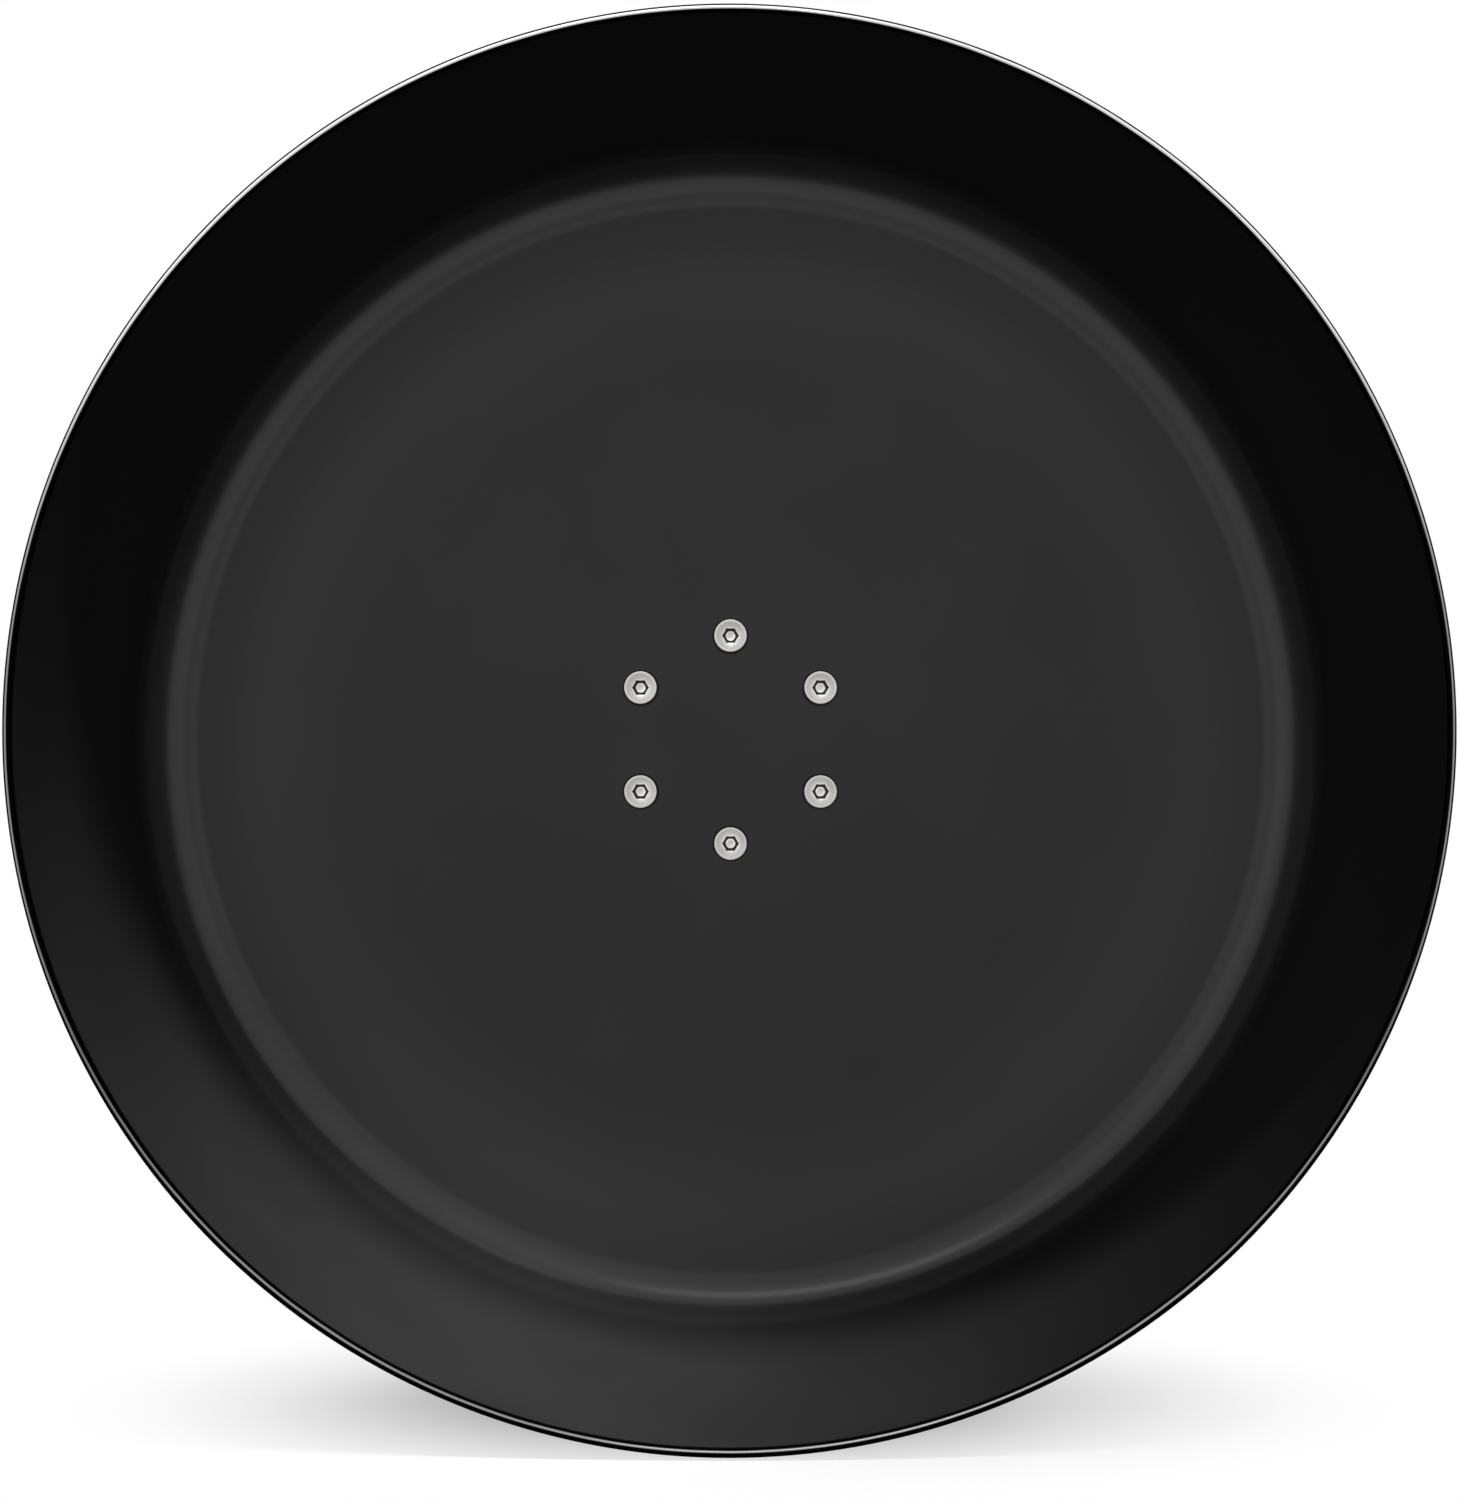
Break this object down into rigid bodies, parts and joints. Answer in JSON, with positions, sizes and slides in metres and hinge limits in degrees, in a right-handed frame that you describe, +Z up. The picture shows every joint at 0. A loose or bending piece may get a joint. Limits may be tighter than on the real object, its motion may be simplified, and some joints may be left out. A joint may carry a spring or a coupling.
{
  "type": "small animal exercise wheel",
  "caption": "Deep round metal running pan with a curled rim, on a ball bearing hub whose axle clamps to a cage wall between two plates with a wing nut.",
  "frame": {"origin": "on the spin axis, in the plane where the inner rubber pad meets the cage wall", "axes": "+Y along the axle, from the pan towards the cage wall and out of the cage; the pan's open front faces -Y; +Z up"},
  "size_m": [0.381, 0.2265, 0.381],
  "materials": {
    "black_coat": "satin",
    "stainless": "satin",
    "cast_aluminium": "satin",
    "zinc_steel": "satin",
    "bearing_steel": "polished",
    "spring_steel": "satin",
    "nylon": "matte",
    "rubber": "matte"
  },
  "bodies": {
    "axle": {"axle_bolt": "zinc_steel", "front_shim": "zinc_steel", "front_inner_race": "bearing_steel", "centre_spacer": "zinc_steel", "rear_inner_race": "bearing_steel", "rear_spacer": "zinc_steel", "jam_nut": "zinc_steel", "inner_clamp_plate": "zinc_steel", "inner_pad": "rubber"},
    "wheel": {"running_pan": "black_coat", "bearing_housing": "cast_aluminium", "pan_screw_1": "stainless", "pan_screw_2": "stainless", "pan_screw_3": "stainless", "pan_screw_4": "stainless", "pan_screw_5": "stainless", "pan_screw_6": "stainless", "flange_washer_1": "zinc_steel", "flange_washer_2": "zinc_steel", "flange_washer_3": "zinc_steel", "flange_washer_4": "zinc_steel", "flange_washer_5": "zinc_steel", "flange_washer_6": "zinc_steel", "lock_nut_1": "zinc_steel", "lock_nut_2": "zinc_steel", "lock_nut_3": "zinc_steel", "lock_nut_4": "zinc_steel", "lock_nut_5": "zinc_steel", "lock_nut_6": "zinc_steel", "retaining_ring": "spring_steel", "front_outer_race": "bearing_steel", "front_seal_a": "rubber", "front_seal_b": "rubber", "rear_outer_race": "bearing_steel", "rear_seal_a": "rubber", "rear_seal_b": "rubber"},
    "front_balls": {"front_retainer": "nylon", "front_ball_1": "bearing_steel", "front_ball_2": "bearing_steel", "front_ball_3": "bearing_steel", "front_ball_4": "bearing_steel", "front_ball_5": "bearing_steel", "front_ball_6": "bearing_steel", "front_ball_7": "bearing_steel"},
    "rear_balls": {"rear_retainer": "nylon", "rear_ball_1": "bearing_steel", "rear_ball_2": "bearing_steel", "rear_ball_3": "bearing_steel", "rear_ball_4": "bearing_steel", "rear_ball_5": "bearing_steel", "rear_ball_6": "bearing_steel", "rear_ball_7": "bearing_steel"},
    "clamp": {"outer_pad": "rubber", "outer_clamp_plate": "zinc_steel", "plain_washer": "zinc_steel"},
    "wing_nut": {"wing_nut": "zinc_steel"}
  },
  "joints": [
    {"name": "wheel_spin", "type": "hinge", "parent": "axle", "child": "wheel", "pos_m": [0, -0.0335, 0], "axis": [0, 1, 0], "continuous": true},
    {"name": "front_balls_spin", "type": "hinge", "parent": "axle", "child": "front_balls", "pos_m": [0, -0.0438, 0], "axis": [0, 1, 0], "continuous": true},
    {"name": "rear_balls_spin", "type": "hinge", "parent": "axle", "child": "rear_balls", "pos_m": [0, -0.0232, 0], "axis": [0, 1, 0], "continuous": true},
    {"name": "clamp_slide", "type": "slide", "parent": "axle", "child": "clamp", "axis": [0, 1, 0], "range_m": [-0.0055, 0.018]},
    {"name": "wing_nut_turn", "type": "hinge", "parent": "clamp", "child": "wing_nut", "pos_m": [0, 0.0139, 0], "axis": [0, 1, 0], "range_deg": [-1320, 4320]}
  ],
  "couplings": [
    {"joint": "front_balls_spin", "follows": "wheel_spin", "ratio": 0.63222},
    {"joint": "rear_balls_spin", "follows": "wheel_spin", "ratio": 0.63222},
    {"joint": "wing_nut_turn", "follows": "clamp_slide", "rad_per_m": 4188.8}
  ]
}
